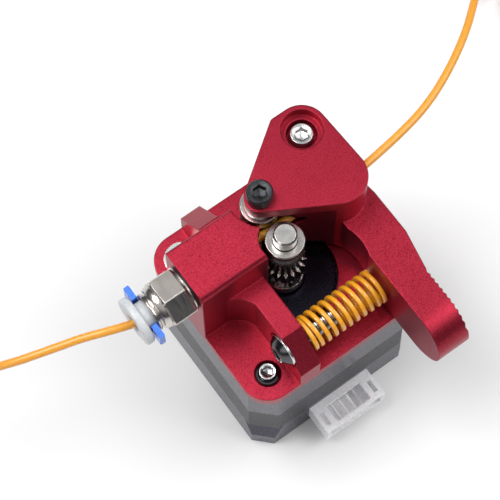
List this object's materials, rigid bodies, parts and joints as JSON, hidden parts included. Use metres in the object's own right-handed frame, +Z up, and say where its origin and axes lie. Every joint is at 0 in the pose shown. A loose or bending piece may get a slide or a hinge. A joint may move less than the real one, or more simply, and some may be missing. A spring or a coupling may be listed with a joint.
{
  "type": "extruder gear assembly",
  "caption": "Direct-drive filament extruder: red base block and sprung idler lever with twin hobbed gears on a square stepper motor, with a push-in tube fitting",
  "frame": {"origin": "on the motor's axis, at the motor's flat bottom face", "axes": "+Z runs up the motor shaft, +X is the way the filament runs from the tube fitting through the gears, and the lever's pivot stands at +X +Y"},
  "size_m": [0.1905, 0.0752, 0.0649],
  "materials": {
    "anodised_red": "bead-blasted red anodised",
    "bell_alloy": "cast, machined faces",
    "lamination": "dark laminated steel",
    "winding_copper": "enamelled copper wire",
    "steel": "ground",
    "zinc_steel": "bright",
    "black_oxide": "black oxide, satin",
    "magnet_black": "satin",
    "nickel": "nickel plated",
    "header_white": "satin",
    "seal_rubber": "matt",
    "collar_grey": "satin",
    "clip_blue": "gloss",
    "spring_yellow": "yellow lacquered",
    "filament_amber": "translucent amber"
  },
  "bodies": {
    "housing": {"motor_front_bell": "bell_alloy", "motor_stator": "lamination", "motor_windings": "winding_copper", "motor_rear_bell": "bell_alloy", "motor_case_screws": "steel", "front_bearing": "steel", "rear_bearing": "steel", "wave_washer": "steel", "connector_header": "header_white", "connector_pins": "zinc_steel", "base_block": "anodised_red", "base_screws": "zinc_steel", "base_washer": "zinc_steel", "pivot_screw": "zinc_steel", "pivot_bush": "steel", "fitting_body": "nickel", "fitting_oring": "seal_rubber", "fitting_seal": "seal_rubber", "spring": "spring_yellow", "filament_core": "filament_amber", "filament_feed": "filament_amber", "filament_outlet": "filament_amber"},
    "rotor": {"motor_shaft": "steel", "rotor_core": "steel", "rotor_magnet": "magnet_black", "drive_gear": "steel", "gear_set_screw": "black_oxide"},
    "lever": {"lever_arm": "anodised_red", "idler_screw": "black_oxide", "idler_washer": "zinc_steel", "idler_bearing": "steel"},
    "idler": {"idler_gear": "steel"},
    "collar": {"release_collar": "collar_grey"},
    "clip": {"lock_clip": "clip_blue"},
    "tensioner": {"tension_screw": "black_oxide"}
  },
  "joints": [
    {"name": "drive_spin", "type": "hinge", "parent": "housing", "child": "rotor", "pos_m": [0, 0, 0.033], "axis": [0, 0, 1], "continuous": true},
    {"name": "lever_swing", "type": "hinge", "parent": "housing", "child": "lever", "pos_m": [0.0155, 0.0155, 0.033], "axis": [0, 0, 1], "range_deg": [-5, 0], "stiffness_Nm_per_rad": 0.9, "deforming": ["spring"]},
    {"name": "idler_spin", "type": "hinge", "parent": "lever", "child": "idler", "pos_m": [0, 0.0086, 0.033], "axis": [0, 0, 1], "continuous": true},
    {"name": "collar_press", "type": "slide", "parent": "housing", "child": "collar", "axis": [1, 0, 0], "range_m": [0, 0.0004]},
    {"name": "clip_slide", "type": "slide", "parent": "housing", "child": "clip", "axis": [0, 0, -1], "range_m": [0, 0.01]},
    {"name": "tension_turn", "type": "hinge", "parent": "housing", "child": "tensioner", "pos_m": [-0.0108, -0.0151, 0.0433], "axis": [1, 0, 0], "range_deg": [-720, 720]}
  ],
  "couplings": [
    {"joint": "idler_spin", "follows": "drive_spin", "ratio": -1}
  ]
}
